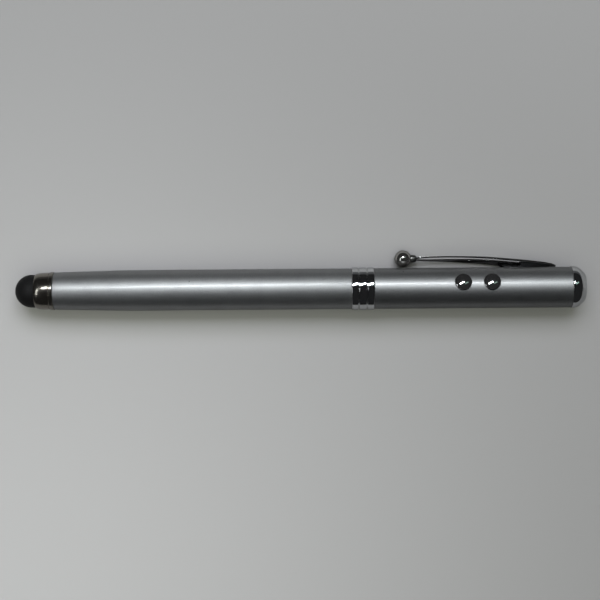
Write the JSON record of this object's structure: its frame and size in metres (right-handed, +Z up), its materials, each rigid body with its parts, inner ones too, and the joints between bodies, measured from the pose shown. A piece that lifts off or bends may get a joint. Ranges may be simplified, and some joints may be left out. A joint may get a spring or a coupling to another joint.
{
  "type": "laser pointer",
  "caption": "Pen-shaped laser pointer with a stylus tip, a pull-off lower barrel over a ballpoint, a ball clip, push buttons and a front light.",
  "frame": {"origin": "on the surface the pen lies on, under the middle of its length and width", "axes": "+X along the pen towards the laser end, +Z up from the surface, +Y towards the clip's side"},
  "size_m": [0.1392, 0.0142, 0.0108],
  "materials": {
    "rubber": "soft matte black conductive rubber",
    "satin_silver": "satin silver lacquer on metal tube",
    "chrome": "bright chrome plate",
    "dark_chrome": "dark polished chrome",
    "steel": "plain turned or nickel-plated metal",
    "brass": "plain turned brass",
    "black_plastic": "matte moulded black",
    "white_plastic": "moulded natural white",
    "board": "green solder mask",
    "lens": "clear"
  },
  "bodies": {
    "pen_core": {"centre_ring": "chrome", "connector": "steel", "pen_section": "black_plastic", "nib_cone": "chrome", "refill_tube": "brass", "refill_point": "steel", "writing_ball": "steel", "battery_spring": "steel"},
    "cap": {"stylus_tip": "rubber", "stylus_ferrule": "dark_chrome", "lower_barrel": "satin_silver", "cap_liner": "white_plastic"},
    "cells": {"button_cell_1": "steel", "button_cell_2": "steel", "button_cell_3": "steel"},
    "battery_tube": {"battery_sleeve": "white_plastic"},
    "upper_body": {"upper_barrel": "satin_silver", "positive_contact": "brass", "circuit_board": "board", "laser_switch": "black_plastic", "light_switch": "black_plastic", "laser_resistor": "black_plastic", "light_resistor": "black_plastic", "module_carrier": "black_plastic", "laser_housing": "brass", "laser_diode": "steel", "laser_lens": "lens", "light_led": "lens", "aperture_plate": "black_plastic", "front_bezel": "chrome", "clip_root": "chrome", "clip_anchor": "steel"},
    "laser_key": {"laser_button": "chrome"},
    "light_key": {"light_button": "chrome"},
    "clip": {"clip_arm": "chrome", "clip_ball": "chrome"}
  },
  "joints": [
    {"name": "cap_pull", "type": "slide", "parent": "pen_core", "child": "cap", "axis": [-1, 0, 0], "range_m": [0, 0.075]},
    {"name": "thread_travel", "type": "slide", "parent": "pen_core", "child": "cells", "axis": [1, 0, 0], "range_m": [0, 0.003]},
    {"name": "barrel_unscrew", "type": "hinge", "parent": "cells", "child": "battery_tube", "pos_m": [0.01802, -0.00191, 0.00523], "axis": [1, 0, 0], "range_deg": [0, 1440]},
    {"name": "barrel_pull", "type": "slide", "parent": "battery_tube", "child": "upper_body", "axis": [1, 0, 0], "range_m": [0, 0.025]},
    {"name": "laser_button_press", "type": "slide", "parent": "upper_body", "child": "laser_key", "axis": [0, -0.4081, -0.9129], "range_m": [0, 0.0005], "stiffness_N_per_m": 400},
    {"name": "light_button_press", "type": "slide", "parent": "upper_body", "child": "light_key", "axis": [0, -0.4081, -0.9129], "range_m": [0, 0.0005], "stiffness_N_per_m": 400},
    {"name": "clip_flex", "type": "hinge", "parent": "upper_body", "child": "clip", "pos_m": [0.0498, 0.00495, 0.00216], "axis": [0, -0.4081, -0.9129], "range_deg": [0, 7], "stiffness_Nm_per_rad": 0.5}
  ],
  "couplings": [
    {"joint": "barrel_unscrew", "follows": "thread_travel", "rad_per_m": 8377.6}
  ]
}
